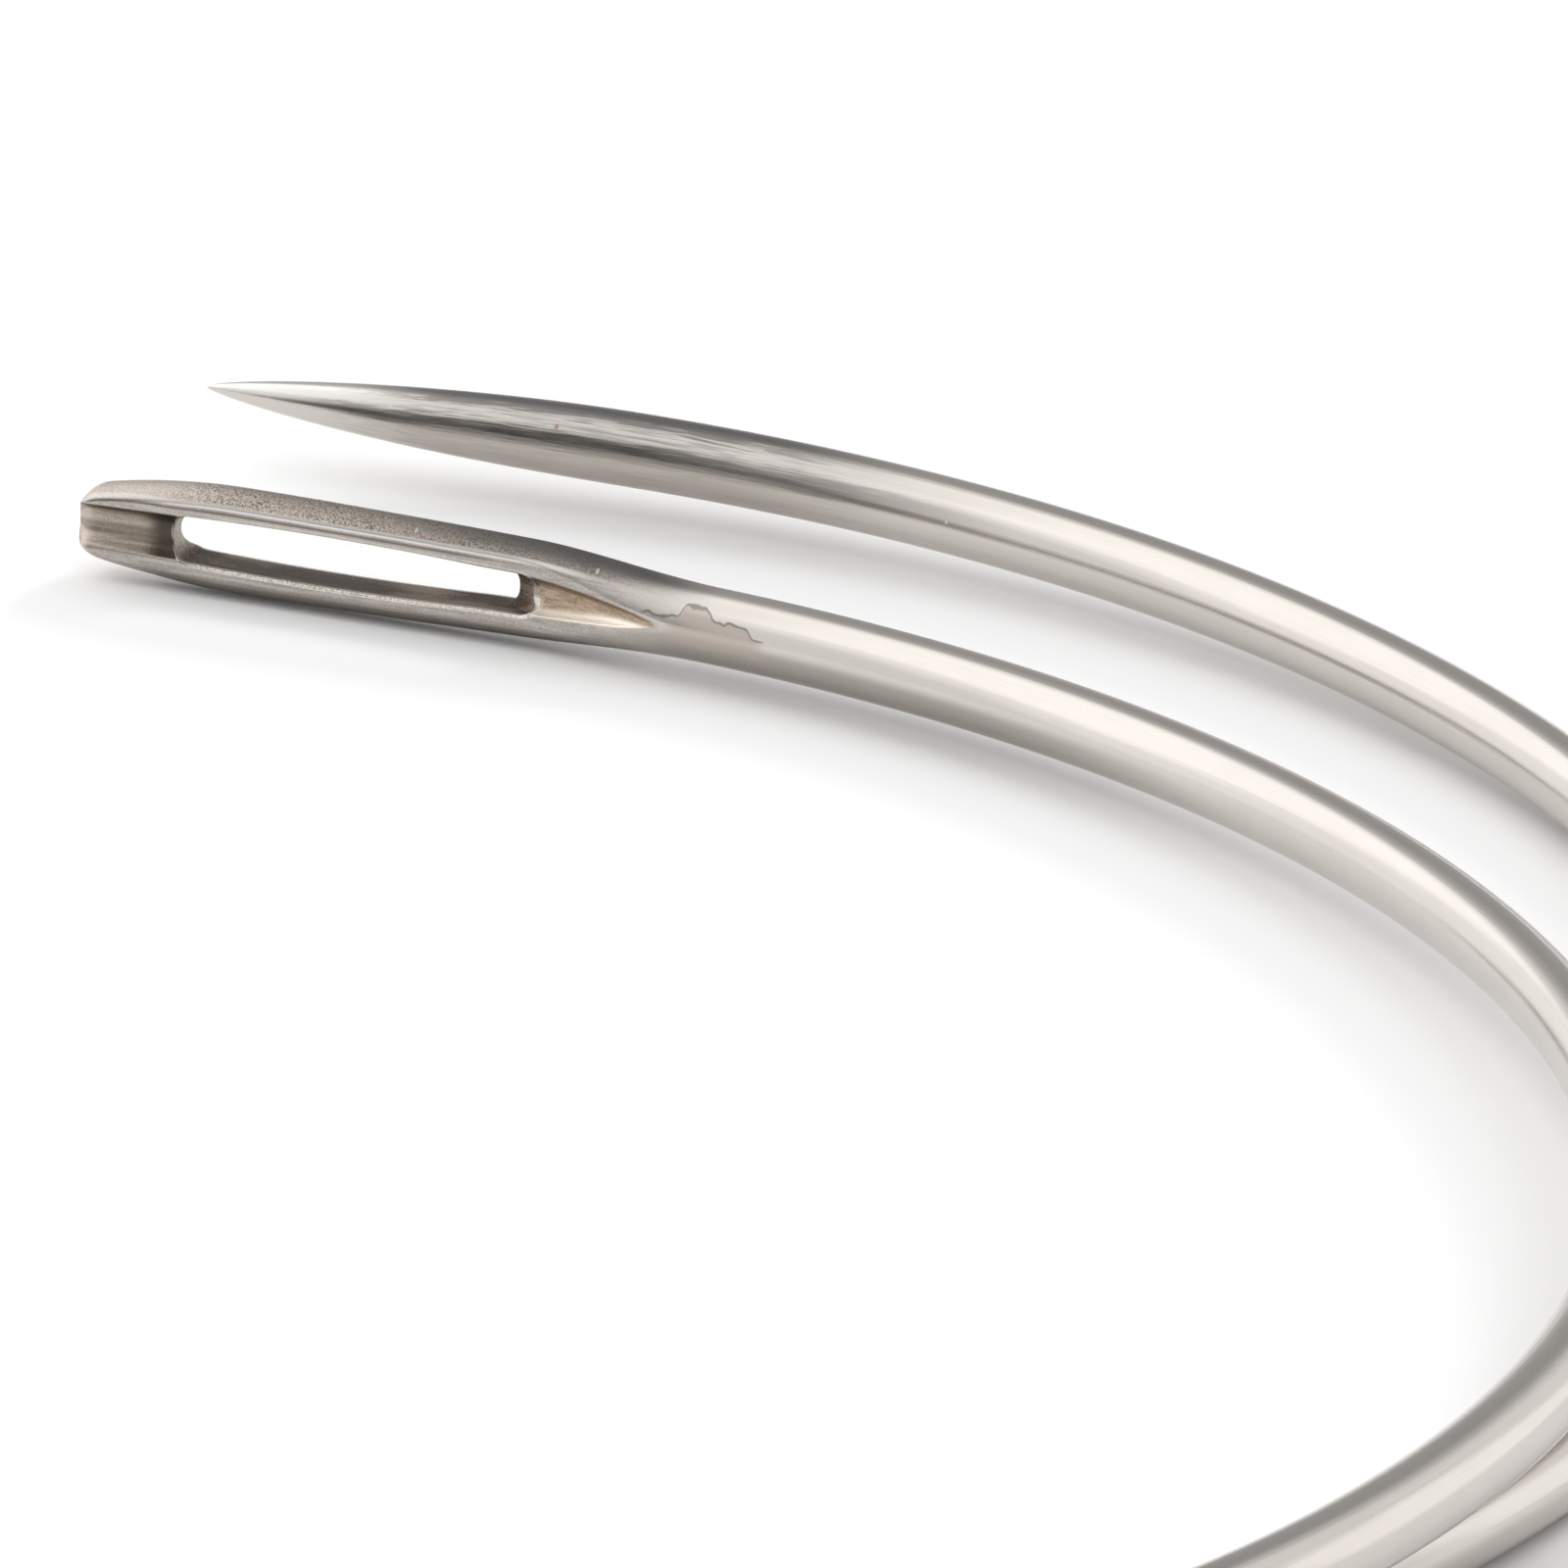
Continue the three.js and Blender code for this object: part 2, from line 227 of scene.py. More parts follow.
def eye_outline():
    """The eye's silhouette as (t, z): up the line where the round wire begins, along the
    worn edge, round the head, and back along the other edge."""
    angle = np.linspace(-90, 90, SHANK_COLUMNS + 1)[:-1]
    rise = WIRE_RADIUS * np.sin(np.radians(angle))
    shank = np.column_stack([np.full(SHANK_COLUMNS, EYE_END), rise])
    t = np.linspace(EYE_END, RAIL_FROM, CORNER_SAMPLES)
    corner = respaced(np.column_stack([t, half_height(t)]), CORNER_COLUMNS)
    t = np.linspace(RAIL_FROM, RAIL_TO, RAIL_SAMPLES)
    rail = respaced(np.column_stack([t, half_height(t)]), RAIL_COLUMNS)
    t = RAIL_TO * np.linspace(1, 0, HEAD_SAMPLES) ** 3
    end = np.column_stack([t, half_height(t)])
    head = respaced(np.vstack([end, [[0.0, 0.0]]]), HEAD_COLUMNS)
    upper = np.vstack([corner, rail, head])
    lower = np.vstack([[[0.0, 0.0]], upper[:0:-1]]) * [1, -1]
    upper[:, 1] -= worn_edge(upper[:, 0])
    return np.vstack([shank, upper, lower])


def slot_edge():
    """The slot's outline at the middle of the thickness, matched to the silhouette: the
    shank end, a corner arc, a bowed edge (a parabola), the head arc, and their mirror."""
    shank_arc = SLOT_END - SLOT_SHANK_RADIUS
    head_arc = SLOT_START + SLOT_HEAD_RADIUS
    flat = SLOT_SHANK_HALF - SLOT_SHANK_RADIUS
    shank = respaced(np.array([[SLOT_END, -flat], [SLOT_END, flat]]), SHANK_COLUMNS)
    turn = np.radians(np.linspace(0, 90, ARC_SAMPLES))
    arc = np.column_stack([np.cos(turn), np.sin(turn)]) * SLOT_SHANK_RADIUS
    corner = respaced(arc + [shank_arc, flat], CORNER_COLUMNS)
    k = np.linspace(0, 1, RAIL_SAMPLES)
    x = blend(shank_arc, head_arc, k)
    y = (1 - k) ** 2 * SLOT_SHANK_HALF + 2 * k * (1 - k) * SLOT_BOW + k ** 2 * SLOT_HEAD_RADIUS
    rail = respaced(np.column_stack([x, y]), RAIL_COLUMNS)
    turn = np.radians(np.linspace(90, 180, ARC_SAMPLES))
    arc = np.column_stack([np.cos(turn), np.sin(turn)]) * SLOT_HEAD_RADIUS
    head = respaced(arc + [head_arc, 0], HEAD_COLUMNS)
    upper = np.vstack([corner, rail, head])
    lower = np.vstack([[[SLOT_START, 0.0]], upper[:0:-1]]) * [1, -1]
    return np.vstack([shank, upper, lower]) + [0, SLOT_SHIFT]


# One needle's surface as arrays: two sheets for the faces of the eye, a wall through
# the slot, and rings along the round wire to the tip. The least sizes only keep the
# shares of the height finite where the needle runs out.
SHEET_ROWS = 48
LIP_ROWS = 4
WALL_ROWS = 5
POINT_ROWS = 90
SHANK_ROWS = 300
POINT_CROWDING = 2.2
EVEN_SPACING = 0.35
SLOPE_SOFTNESS = 0.1
SETTLING_ROUNDS = 30
FACE_LIP_SHARES = (0.30, 0.22, 0.12, 0.05)
WALL_LIP_SHARES = np.linspace(0.3, 0.5, LIP_ROWS)
LEAST_HALF = 0.3
LEAST_RADIUS = 0.02
MILLIMETRE = 0.001


def quads(grid):
    """Four-cornered faces between the rows of a grid of vertex numbers that closes round,
    so that its last column joins its first."""
    after = np.roll(grid, -1, axis=1)
    corners = [grid[:-1], after[:-1], after[1:], grid[1:]]
    return np.stack(corners, axis=-1).reshape(-1, 4)


def eye_grids():
    """The near face of the eye and the slot's wall as grids of (s, out, height), and the
    face's height as a share of the eye's with how deep a gutter is there.

    A row of the face runs from the slot's edge to the outline, wider apart at first and
    closer where the crown rolls over. The lip is a quarter circle between face and
    wall, and the wall goes straight through, drawn out at the shank end with depth.
    """
    outline = eye_outline()
    edge = slot_edge()
    columns = len(edge)
    ahead = np.roll(edge, -1, axis=0) - np.roll(edge, 1, axis=0)
    away = np.column_stack([ahead[:, 1], -ahead[:, 0]])
    away /= np.maximum(np.hypot(*away.T), 1e-9)[:, None]
    drawn = smooth(edge[:, 0], SLOT_END - 2 * SLOT_SHANK_RADIUS, SLOT_SHANK_RADIUS)

    def drawn_out(out):
        return drawn * SLOT_SHANK_SLOPE * lower_of(out, SLOT_SLOPE_DEPTH, SLOPE_SOFTNESS)

    def lip_line(out):
        return edge + np.column_stack([drawn_out(out), np.zeros(columns)]) + SLOT_LIP * away

    settled = np.full(columns, EYE_HALF_THICKNESS - GUTTER_DEPTH)
    for _ in range(SETTLING_ROUNDS):
        inner = lip_line(settled)
        settled = 0.5 * settled + 0.5 * eye_surface(inner[:, 0], inner[:, 1])[0]
    inner = lip_line(settled)

    w = np.linspace(0, 1, SHEET_ROWS + 1)[:, None, None]
    spread = EVEN_SPACING * w + (1 - EVEN_SPACING) * np.sin(w * math.pi / 2)
    sheet = inner + (outline - inner) * spread
    t, z = sheet[..., 0], sheet[..., 1]
    out, depth = eye_surface(t, z)
    out[-1] = 0.0
    angle = np.radians(np.linspace(-90, 90, SHANK_COLUMNS + 1))
    out[-1, :SHANK_COLUMNS + 1] = WIRE_RADIUS * np.cos(angle)
    out[-1, [0, SHANK_COLUMNS]] = 0.0
    near = np.dstack([NEEDLE_LENGTH - t, out, z])
    near_form = np.dstack([z / np.maximum(half_height(t), LEAST_HALF), depth])

    roll = np.radians(np.linspace(0, 90, LIP_ROWS + 1))[1:, None]
    lip_out = out[0] - SLOT_LIP * (1 - np.cos(roll))
    lip_aside = np.broadcast_to(SLOT_LIP * (1 - np.sin(roll)), lip_out.shape)
    down = np.linspace(1, 0, WALL_ROWS + 1)[1:, None]
    wall_out = np.vstack([lip_out, (out[0] - SLOT_LIP) * down])
    wall_aside = np.vstack([lip_aside, np.zeros((WALL_ROWS, columns))])
    wall_t = edge[:, 0] + drawn_out(wall_out) + wall_aside * away[:, 0]
    wall_z = edge[:, 1] + wall_aside * away[:, 1]
    wall = np.dstack([NEEDLE_LENGTH - wall_t, wall_out, wall_z])
    wall = np.vstack([wall, wall[-2::-1] * [1, -1, 1]])
    return near, near_form, wall


def wire_rings():
    """Rings round the wire as (s, out, height), from the eye to the tip: evenly spaced
    along the shank, and closer together towards the tip as a power of their number."""
    k = np.linspace(0, 1, POINT_ROWS + 1)[1:]
    point = TIP_START + (POINT_LENGTH - TIP_START) * k ** POINT_CROWDING
    shank = np.linspace(POINT_LENGTH, NEEDLE_LENGTH - EYE_END, SHANK_ROWS + 1)[1:-1]
    s = np.concatenate([point, shank])[::-1]
    turn = np.radians(np.arange(2 * SHANK_COLUMNS) * 180 / SHANK_COLUMNS - 90)
    reach = wire_radius(s)[:, None]
    return np.dstack([s[:, None] + 0 * turn, reach * np.cos(turn), reach * np.sin(turn)])


def needle_surface():
    """Vertices as (s, out, height), their form, the faces, and the fan at the tip. The
    form is the height as a share of the section's, how deep a gutter is there, and 1 on
    the slot's wall. The far face mirrors the near one and shares its outline."""
    near, near_form, wall = eye_grids()
    parts = [near, near * [1, -1, 1], wall, wire_rings(), np.array([[[TIP_START, 0.0, 0.0]]])]
    counts = np.cumsum([0] + [p.shape[0] * p.shape[1] for p in parts])
    number = [np.arange(a, b).reshape(p.shape[:2]) for a, b, p in zip(counts, counts[1:], parts)]
    near_no, far_no, wall_no, ring_no, tip_no = number
    shared = np.r_[0, SHANK_COLUMNS:near.shape[1]]
    far_no[-1, shared] = near_no[-1, shared]
    joint = np.concatenate([near_no[-1, :SHANK_COLUMNS + 1], far_no[-1, SHANK_COLUMNS - 1:0:-1]])
    ring_no = np.vstack([joint, ring_no])
    wall_no = np.vstack([near_no[0], wall_no, far_no[0]])
    grids = [near_no, far_no[:, ::-1], wall_no[:, ::-1], ring_no[:, ::-1]]
    faces = np.vstack([quads(grid) for grid in grids])
    last = ring_no[-1]
    fan = np.column_stack([last, np.roll(last, -1), np.full(len(last), tip_no[0, 0])])

    places = np.vstack([p.reshape(-1, 3) for p in parts])
    form = np.zeros((len(places), 3))
    form[:, 0] = places[:, 2] / np.maximum(wire_radius(places[:, 0]), LEAST_RADIUS)
    for face_no in (near_no, far_no):
        form[face_no, :2] = near_form
        form[face_no[:len(FACE_LIP_SHARES)], 2] = np.array(FACE_LIP_SHARES)[:, None]
    form[wall_no[1:-1], 2] = 1.0
    for lip_no in (wall_no[1:LIP_ROWS + 1], wall_no[-2:-LIP_ROWS - 2:-1]):
        form[lip_no, 2] = WALL_LIP_SHARES[:, None]
    shoulder = smooth(NEEDLE_LENGTH - places[:, 0], SHOULDER_START, SHOULDER_LENGTH)
    places[:, 2] += EYE_SHIFT * (1 - shoulder)
    return places, form, faces, fan


surface_places, surface_form, surface_quads, surface_fan = needle_surface()


def placed(name, data):
    """Puts this mesh, lamp or camera into the scene as an object."""
    made = bpy.data.objects.new(name, data)
    bpy.context.scene.collection.objects.link(made)
    return made


def lay_needle(name, place, lean, rise, turn):
    """Makes one needle: the surface is bent, leaned about X, raised about Y, turned
    about Z, in that order, and carried to its place, in metres."""
    used = np.unique(np.concatenate([surface_quads.ravel(), surface_fan.ravel()]))
    renumber = np.zeros(len(surface_places), int)
    renumber[used] = np.arange(len(used))
    places = surface_places[used]
    points = bent(places[:, 0], places[:, 1], places[:, 2])
    turned = Matrix.Rotation(math.radians(turn), 3, "Z")
    turned @= Matrix.Rotation(math.radians(rise), 3, "Y")
    turned @= Matrix.Rotation(math.radians(lean), 3, "X")
    points = (points @ np.array(turned).T + place) * MILLIMETRE
    mesh = bpy.data.meshes.new(name)
    faces = renumber[surface_quads].tolist() + renumber[surface_fan].tolist()
    mesh.from_pydata(points.tolist(), [], faces)
    for key, values in (("wire_place", places), ("wire_form", surface_form[used])):
        attribute = mesh.attributes.new(key, "FLOAT_VECTOR", "POINT")
        attribute.data.foreach_set("vector", values.astype(np.float32).ravel())
    shell = bmesh.new()
    shell.from_mesh(mesh)
    bmesh.ops.recalc_face_normals(shell, faces=shell.faces)
    shell.to_mesh(mesh)
    shell.free()
    mesh.shade_smooth()
    return placed(name, mesh)


# The nickel finish. The wire is dull nickel over steel, brushed lengthwise; the point
# was ground, so its streaks are coarse, and the pressed eye is matt and sandy, with
# brown dirt and painted shade in the gutters and the slot, and painted highlights along
# its edges. A pair is its darkest and lightest tone.
DRAWN_WIRE = (0.570, 0.530, 0.490), (0.660, 0.625, 0.590)
GROUND_POINT = (0.300, 0.280, 0.260), (0.640, 0.600, 0.560)
PRESSED_FACE = (0.370, 0.335, 0.305), (0.520, 0.480, 0.445)
SANDY_CROWN = (0.180, 0.155, 0.133), (0.620, 0.545, 0.475)
BARE_GUTTER = (0.340, 0.285, 0.230), (0.520, 0.450, 0.380)
TAN_SPOON = (0.330, 0.245, 0.172), (0.540, 0.425, 0.325)
SHADED_SIDE_WALL = (0.100, 0.076, 0.058), (0.340, 0.275, 0.220)
LIT_END_WALL = (0.220, 0.195, 0.165), (0.520, 0.480, 0.420)
CROWN_STAIN = (0.480, 0.400, 0.345)
CROWN_SHADE = (0.150, 0.138, 0.128)
CROWN_AT_HEAD = (0.650, 0.590, 0.540)
PAINTED_HIGHLIGHT_BAND = (0.840, 0.805, 0.770)
CREASE_SHADE = (0.150, 0.130, 0.115)
GUTTER_DIRT_AND_SHADE = (0.055, 0.043, 0.034)
HEAD_END_HIGHLIGHT = (0.620, 0.545, 0.495)
LIP_HIGHLIGHT = (0.880, 0.810, 0.730)
RELIEF_HEIGHT = 0.000006


class Value:
    """A socket in a shader tree; arithmetic on it adds the Math or Vector Math nodes."""

    def __init__(self, shader, socket):
        self.shader = shader
        self.socket = socket

    def maths(self, operation, *others):
        vector = any(isinstance(o, Value) and o.socket.type == "VECTOR" for o in (self, *others))
        kind = "ShaderNodeVectorMath" if vector else "ShaderNodeMath"
        return self.shader.add(kind, {"operation": operation}, dict(enumerate((self, *others))))

    def __add__(self, other):
        return self.maths("ADD", other)

    def __radd__(self, other):
        return self.maths("ADD", other)

    def __sub__(self, other):
        return self.maths("SUBTRACT", other)

    def __rsub__(self, other):
        return self.shader.add("ShaderNodeMath", {"operation": "SUBTRACT"}, {0: other, 1: self})

    def __mul__(self, other):
        return self.maths("MULTIPLY", other)

    def __rmul__(self, other):
        return self.maths("MULTIPLY", other)

    def __pow__(self, other):
        return self.maths("POWER", other)

    def __neg__(self):
        return self.maths("MULTIPLY", -1)

    def smooth(self, start, end):
        """0 up to start, 1 from end on, and a smooth rise between them."""
        settings = {"interpolation_type": "SMOOTHSTEP"}
        return self.shader.add("ShaderNodeMapRange", settings, {0: self, 1: start, 2: end})

    def between(self, rise, fall):
        """1 between the two spans, with a smooth rise over one and fall over the other."""
        return self.smooth(*rise) * (1 - self.smooth(*fall))


class Shader:
    """The nodes of a material or of the world, with one method that adds a node."""

    def __init__(self, owner, surface="Principled BSDF"):
        owner.use_nodes = True
        self.owner = owner
        self.tree = owner.node_tree
        self.surface = self.tree.nodes[surface]

    def add(self, kind, settings=None, inputs=None, output=0):
        node = self.tree.nodes.new(kind)
        for key, value in (settings or {}).items():
            setattr(node, key, value)
        self.fill(node, inputs or {})
        return Value(self, node.outputs[output])

    def fill(self, node, inputs):
        """Links or sets a node's sockets. A colour is given as red, green and blue."""
        for key, value in inputs.items():
            socket = node.inputs[key]
            if isinstance(value, Value):
                self.tree.links.new(value.socket, socket)
            elif socket.type == "RGBA":
                socket.default_value = (*value, 1)
            elif socket.type == "VECTOR" and isinstance(value, (int, float)):
                socket.default_value = (value, value, value)
            else:
                socket.default_value = value

    def parts(self, vector):
        """The three parts of a vector."""
        split = self.add("ShaderNodeSeparateXYZ", {}, {0: vector}).socket.node
        return [Value(self, output) for output in split.outputs]

    def named(self, attribute):
        """The vector that the mesh carries under this name, and its three parts."""
        whole = self.add("ShaderNodeAttribute", {"attribute_name": attribute}, output="Vector")
        return whole, *self.parts(whole)

    def colour(self, first, second, share):
        """first where share is 0, second where it is 1."""
        inputs = {0: share, 6: first, 7: second}
        return self.add("ShaderNodeMix", {"data_type": "RGBA"}, inputs, 2)

    def coats(self, colour, *coats):
        """Lays coats over a colour in turn, each given with the share that it covers."""
        for coat, share in coats:
            colour = self.colour(colour, coat, share)
        return colour

    def grain(self, place, stretch, detail, shift):
        """Noise from 0 to 1 with its grains stretched by these sizes in millimetres."""
        scaled = place * tuple(1 / size for size in stretch) + shift
        return self.add("ShaderNodeTexNoise", {}, {"Vector": scaled, "Scale": 1, "Detail": detail})


def nickel(name, seed, marks):
    """The finish of one needle. Masks from the places along it choose what is drawn
    wire, pressed face, sandy crown, gutter or slot; marks adds to the colour what this
    needle alone shows. s and t are the distances from the point and from the head in
    millimetres, and around runs from -1 to 1 over the section's height."""
    shader = Shader(bpy.data.materials.new(name))
    place, s, _, _ = shader.named("wire_place")
    _, around, gutter, wall = shader.named("wire_form")
    t = NEEDLE_LENGTH - s
    rim = around.maths("ABSOLUTE")

    brushed = shader.grain(place, (8.0, 0.06, 0.06), 3, seed)
    streaks = shader.grain(place, (1.5, 0.07, 0.07), 4, seed + 7)
    sand = shader.grain(place, (0.055, 0.04, 0.04), 6, seed + 13)
    blotch = shader.grain(place, (1.6, 0.5, 0.5), 3, seed + 19)
    worn = streaks * 0.5 + sand * 0.5
    rubbed = worn.smooth(0.38, 0.60)
    grime = (sand * 0.4 + blotch * 0.6).smooth(0.44, 0.62)

    ground = s.between((2.5, 6.0), (13.0, 19.0))
    pressed = 1 - t.smooth(13.0, 16.2)
    crown = rim.smooth(0.74, 0.80) * pressed
    # Where the crown rolls over onto the face: a painted highlight along the edge, and painted
    # shade in the crease beside it.
    fold = 0.09 * t.smooth(1.0, 3.0) - around - 0.09
    highlight_band = fold.between((0.68, 0.71), (0.76, 0.81)) * (1 - t.smooth(11.5, 14.0))
    crease = fold.between((0.60, 0.62), (0.64, 0.68)) * (1 - t.smooth(9.5, 12.5))
    sunk = gutter.smooth(0.02, 0.16)
    spoon = t.smooth(10.8, 11.4)
    inside = wall.smooth(0.55, 0.95)
    lip = wall.smooth(0.04, 0.25) * (1 - inside) * t.between((3.2, 4.2), (11.6, 11.9))

    sandy = shader.coats(
        shader.colour(*SANDY_CROWN, sand.smooth(0.38, 0.60)),
        (CROWN_STAIN, blotch.smooth(0.45, 0.60) * 0.35),
        (CROWN_SHADE, t.smooth(5.0, 13.0) * 0.55),
        (CROWN_AT_HEAD, (1 - t.smooth(1.5, 4.5)) * 0.6),
    )
    trough = shader.coats(
        shader.colour(*BARE_GUTTER, rubbed),
        # brown dirt and painted shade: the gutter darkens where it deepens into the slot and along
        # it
        (GUTTER_DIRT_AND_SHADE, (t + blotch * 0.6).smooth(1.95, 2.60) * 0.9),
        (shader.colour(*TAN_SPOON, rubbed), spoon),
    )
    # The slot's wall: mottled brown grime, painted pale and lit on the end wall at the head and
    # painted in shade along the sides.
    slot_wall = shader.coats(
        shader.colour(*LIT_END_WALL, grime),
        (shader.colour(*SHADED_SIDE_WALL, grime), t.smooth(2.66, 2.80)),
    )
    colour = shader.coats(
        shader.colour(*DRAWN_WIRE, brushed * 0.5 + blotch * 0.5),
        (shader.colour(*GROUND_POINT, streaks.smooth(0.34, 0.60)), ground * 0.6),
        (shader.colour(*PRESSED_FACE, rubbed), pressed),
        (sandy, crown),
        # painted highlight on the rolled edge of the face
        (PAINTED_HIGHLIGHT_BAND, highlight_band * (0.4 + t.smooth(1.5, 3.5) * 0.5)),
        (CREASE_SHADE, crease * 0.8),
        (trough, sunk),
        # painted highlight that makes the rounded blunt end paler
        (HEAD_END_HIGHLIGHT, (1 - t.smooth(0.32, 0.55)) * 0.6),
        (slot_wall, inside),
        # painted highlight along the slot's lip, broken by the sand grain
        (LIP_HIGHLIGHT, lip * (0.1 + sand * 0.4)),
    )

    roughness = 0.16 + brushed * 0.06 + ground * 0.06 + pressed * 0.14 + crown * 0.16
    roughness = roughness + sunk * 0.12 + inside * 0.16
    relief = brushed * 0.4 + ground * streaks * 1.6 + pressed * sand * 0.5 + crown * sand * 1.4
    relief = relief + sunk * worn * 1.4 + inside * sand * 1.6
    bump = {"Height": relief, "Strength": 1.0, "Distance": RELIEF_HEIGHT}
    shader.fill(shader.surface, {
        "Base Color": marks(shader, colour, streaks, sand),
        "Roughness": roughness,
        "Metallic": 1.0,
        "Normal": shader.add("ShaderNodeBump", {}, bump),
    })
    return shader.owner


# The bottom needle. It lies on the table on its bend and its eye, and its point is
# tipped up a little, because the pressed eye is taller than the wire. Its ground point
# carries painted dark reflections along its top and down its side, painted shade on its
# lower side and a painted highlight at the tip.
TIP_HIGHLIGHT = (0.720, 0.690, 0.660)
SHADED_LOW_SIDE = (0.440, 0.395, 0.360)
TOP_DARK_REFLECTION = (0.170, 0.163, 0.156)
SIDE_DARK_REFLECTION = (0.150, 0.143, 0.136)
RUST = (0.330, 0.190, 0.100)
WHITE_NICK = (0.900, 0.900, 0.890)


def spot(along, around, centre, radius):
    """1 inside a small round spot at this distance along and height around the wire."""
    aside = (around - centre[1]) * WIRE_RADIUS
    reach = ((along - centre[0]) ** 2 + aside * aside) ** 0.5
    return 1 - reach.smooth(radius * 0.6, radius)


def grinding(shader, colour, streaks, sand):
    """A painted dark reflection along the top of the point and another as a ragged line
    down its side, painted shade on its lower side, a painted highlight on the tip, a fleck
    of rust and a white nick."""
    s = shader.named("wire_place")[1]
    around = shader.named("wire_form")[1]
    zone = s.between((3.0, 6.5), (13.5, 19.0))
    top = (around + (streaks - 0.5) * 0.5).smooth(0.82, 0.92)
    line = 1 - (around - 0.34 + (streaks - 0.5) * 0.4).maths("ABSOLUTE").smooth(0.10, 0.32)
    line = line * s.between((1.5, 4.0), (16.0, 22.0))
    low = 1 - around.smooth(0.0, 0.3)
    return shader.coats(
        colour,
        # painted highlight on the upper side of the tip
        (TIP_HIGHLIGHT, (1 - s.smooth(3.0, 6.5)) * around.smooth(0.3, 0.5)),
        # painted shade on the lower side of the ground part
        (SHADED_LOW_SIDE, zone * low * 0.75),
        # painted dark reflection along the top of the point
        (TOP_DARK_REFLECTION, zone * top * 0.85),
        # painted dark reflection as a ragged line down the side
        (SIDE_DARK_REFLECTION, line * 0.55),
        (RUST, spot(s, around, (9.1, 0.64), 0.07) * 0.7),
        (WHITE_NICK, spot(s, around, (19.65, 0.22), 0.05)),
    )


bottom_needle = lay_needle("bottom_needle_steel", (-14.7637, 3.8252, 1.6554), 0.25, 1.07, -5.13)
bottom_needle.data.materials.append(nickel("bottom_nickel", 3.1, grinding))
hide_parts("bottom_needle")
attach(bottom_needle, "bottom")

# The top needle. It lies the other way up, with its eye on the table and its bend
# carried by the bottom needle where the two cross. Metal was squeezed out behind its eye
# in the press, and the rails beside the slot are rubbed; its upper edge, rails, gutters
# and lower side carry painted highlights, painted shade and painted dark reflections.
KEEL_SHADE = (0.160, 0.143, 0.128)
BROWN_DIRT_AND_SHADE = (0.110, 0.088, 0.070)
SPOON_HIGHLIGHT = (0.950, 0.860, 0.750)
SPOON_EDGE_SHADE = (0.210, 0.150, 0.100)
RAIL_LIP_HIGHLIGHT = (0.960, 0.890, 0.810)
SHADED_LOWER_SIDE = (0.360, 0.325, 0.295)
BEIGE_PATCH = (0.470, 0.410, 0.365)
UPPER_EDGE_DARK_REFLECTION = (0.110, 0.105, 0.100)
SEAM_BROWN = (0.170, 0.145, 0.125)
GREY_NICK = (0.650, 0.640, 0.620)


